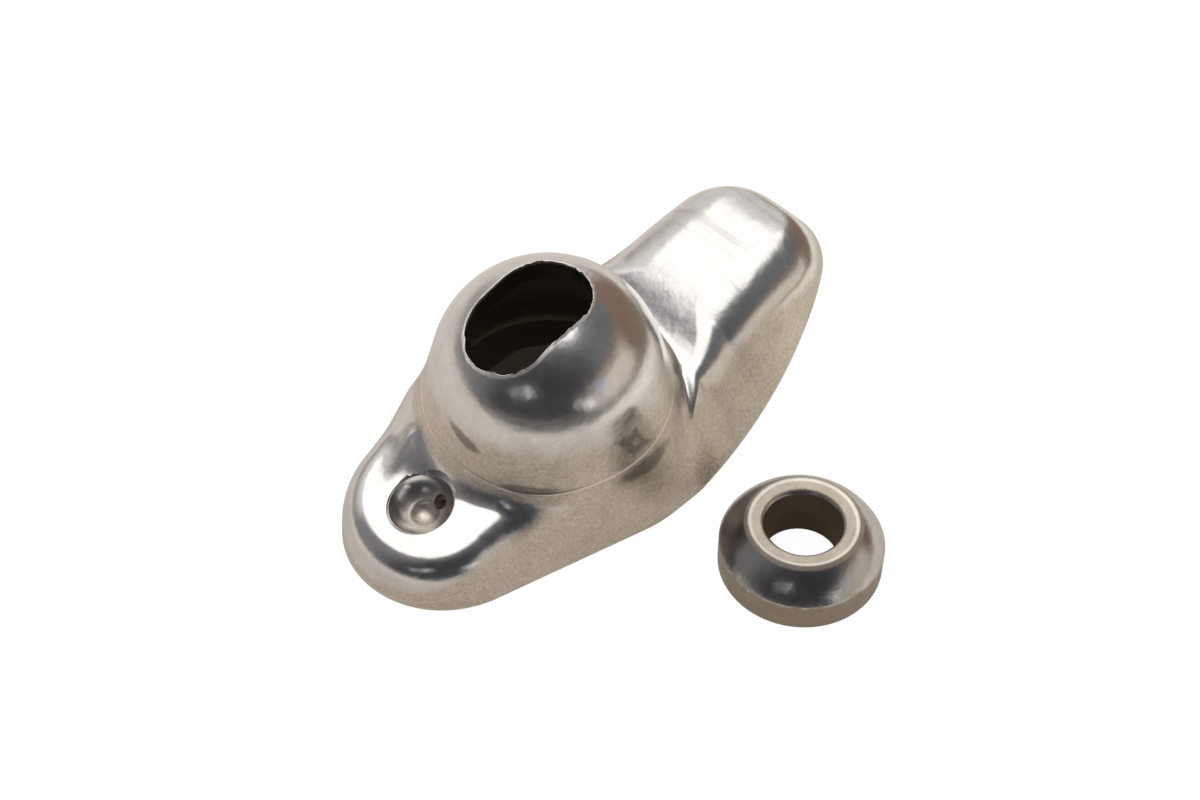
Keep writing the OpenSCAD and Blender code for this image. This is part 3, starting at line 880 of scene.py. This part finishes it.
def make_floor():
    """A pale floor plane with painted shadow near and under the parts, darker far off towards the camera
    and the right.
    """
    s = FLOOR_SIZE
    z = (GROUND - FLOOR_GAP) * MM
    corners = np.array([[-s, -s, z], [s, -s, z], [s, s, z], [-s, s, z]])
    floor = solid_mesh("floor_plane", corners, np.array([[0, 1, 2, 3]]))
    material, link = new_material("pale_floor")
    _, (x, y, _) = place_mm(link)
    near, right = towards(x, y)
    sheen = right.rise(30.0, 70.0).blend(FLOOR_LEFT, FLOOR_RIGHT)
    brown = (right.rise(60.0, 110.0) * near.fall(-60.0, -30.0)).largest(right.rise(150.0, 220.0))
    sheen = brown.blend(sheen, FLOOR_BROWN)
    sheen = near.rise(65.0, 130.0).blend(sheen, FLOOR_NEAR)
    # Distance outside the footprints
    hip_gap = root_sum(x - HIP_X - HIP_FLARE, y) - HIP_FOOT_R
    ball_gap = root_sum(x - BALL_X, y - BALL_Y) - BALL_FOOT_R
    gap = capsule_gap(x, y, *ARM_FOOT).smallest(hip_gap).smallest(ball_gap)
    # Painted shadow: in reflections the floor darkens within 38 mm of the parts and goes dark under them
    sheen = (gap.fall(0.0, 38.0) * 0.36).blend(sheen, FLOOR_SHADE)
    sheen = gap.fall(-2.0, 2.0).blend(sheen, FLOOR_SHADOW_UNDER)
    # Painted shadow: inside the footprints the camera sees a dark floor, and the floor takes no light there
    inside = capsule_gap(x, y, *HIDDEN_FOOT).smallest(hip_gap).fall(-0.6, 0.3)
    seen = camera_ray(link).blend(sheen, inside.blend(FLOOR_SEEN, FLOOR_SHADOW_INSIDE))
    plain = link.add("ShaderNodeBsdfDiffuse", {}, {"Color": inside.blend(FLOOR_MATT, BLACK)})
    glow = link.add("ShaderNodeEmission", {}, {"Color": seen, "Strength": 1.0})
    surface = link.add("ShaderNodeAddShader", {}, {0: plain, 1: glow})
    link.add("ShaderNodeOutputMaterial", {}, {"Surface": surface})
    floor.data.materials.append(material)


def compass(azimuth, elevation):
    """Unit direction from its elevation and its azimuth, 0 towards the camera, positive to the right."""
    a = np.radians(azimuth)
    e = np.radians(elevation)
    flat = np.cos(a) * np.array(TO_CAMERA) + np.sin(a) * np.array(TO_RIGHT)
    return np.cos(e) * flat + np.array([0, 0, np.sin(e)])


def spot(x, y, z, place, inner, outer):
    """Round patch of the room: 1 within inner degrees of a direction, 0 past outer degrees."""
    d = compass(*place)
    cosine = x * float(d[0]) + y * float(d[1]) + z * float(d[2])
    return cosine.rise(float(np.cos(np.radians(outer))), float(np.cos(np.radians(inner))))


# The room round the arm, as the steel reflects it
ROOM_BACKGROUND = tone(1.0, 1.0, 1.0)
ROOM_HIGH_RIGHT = tone(0.18, 0.185, 0.195)
ROOM_LOW_RIGHT = tone(0.27, 0.19, 0.14)
ROOM_SIDE = tone(0.27, 0.26, 0.27)
ROOM_LOW_LEFT = tone(0.42, 0.40, 0.37)
ROOM_HIGH_LEFT = tone(1.0, 0.97, 0.94)
ROOM_BACK = tone(0.86, 0.83, 0.80)
ROOM_NEAR = tone(0.055, 0.055, 0.062)
ROOM_TABLE = tone(0.80, 0.73, 0.63)
ROOM_LIGHT = tone(1.70, 1.68, 1.65)
# Small lamps: azimuth and elevation, degrees from full to gone, colour
LAMPS = (((40, 7), (2, 6), tone(1.7, 1.7, 1.7)),
         ((31, 11), (1, 4), tone(1.1, 1.1, 1.1)),
         ((56, 16), (0.5, 4), tone(0.45, 0.58, 1.3)),
         ((-20, 26), (2, 6), tone(1.0, 1.0, 1.05)),
         ((-33, 22), (1, 5), tone(0.6, 0.6, 0.65)))


def make_world():
    """The room: a wide soft light overhead, dark towards the camera, brown to the right, small lamps."""
    world = bpy.data.worlds.new("studio")
    bpy.context.scene.world = world
    world.use_nodes = True
    world.node_tree.nodes.clear()
    link = Link(world.node_tree)
    x, y, z = parts(link.add("ShaderNodeTexCoord", {}, {}, out=0))
    near, right = towards(x, y)
    side = right.rise(-0.3, 0.6).blend(ROOM_SIDE, z.fall(0.35, 0.6).blend(ROOM_HIGH_RIGHT, ROOM_LOW_RIGHT))
    left = z.rise(0.1, 0.7).blend(ROOM_LOW_LEFT, ROOM_HIGH_LEFT)
    back = right.rise(-0.6, -0.2).blend(left, ROOM_BACK)
    room = (near.fall(-0.5, -0.2) * right.fall(0.22, 0.45)).blend(side, back)
    room = near.rise(0.15, 0.75).blend(room, ROOM_NEAR)
    table = z.fall(0.28, 0.48) * right.rise(0.55, 0.85) * near.rise(-0.35, -0.05)
    room = table.blend(room, ROOM_TABLE)
    light = spot(x, y, z, (172, 72), 28, 37) * right.fall(0.38, 0.47)
    room = light.blend(room, ROOM_LIGHT)
    for place, (inner, outer), colour in LAMPS:
        room = spot(x, y, z, place, inner, outer).blend(room, colour)
    seen = camera_ray(link).blend(room, ROOM_BACKGROUND)
    glow = link.add("ShaderNodeBackground", {}, {"Color": seen, "Strength": 1.0})
    link.add("ShaderNodeOutputWorld", {}, {"Surface": glow})


# The photograph's camera: lens and frame, place in metres, degrees that it looks down and is turned
LENS = 66.0
SENSOR = 36.0
CAMERA_PLACE = (-0.131381, -0.142804, 0.215195)
CAMERA_DOWN = 48.73
CAMERA_TURN = -44.633


def make_camera():
    """The camera, at the photograph's viewing angle."""
    data = bpy.data.cameras.new("camera")
    data.lens = LENS
    data.sensor_width = SENSOR
    camera = bpy.data.objects.new("camera", data)
    camera.location = CAMERA_PLACE
    camera.rotation_euler = (np.radians(90 - CAMERA_DOWN), 0, np.radians(CAMERA_TURN))
    bpy.context.scene.collection.objects.link(camera)
    bpy.context.scene.camera = camera


def settle(obj, node, material):
    """Gives a finished piece its material and shading, and puts it in place of its CAD node."""
    obj.data.materials.clear()
    obj.data.materials.append(material)
    obj.data.polygons.foreach_set("use_smooth", np.ones(len(obj.data.polygons), bool))
    obj.data.set_sharp_from_angle(angle=SHARP)
    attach(obj, "root")
    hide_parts(node)


make_camera()
make_world()
make_floor()
settle(make_arm(), "rocker_arm", arm_steel())
settle(make_ball(), "pivot_ball", ball_steel())
bpy.context.scene.view_settings.view_transform = "Standard"
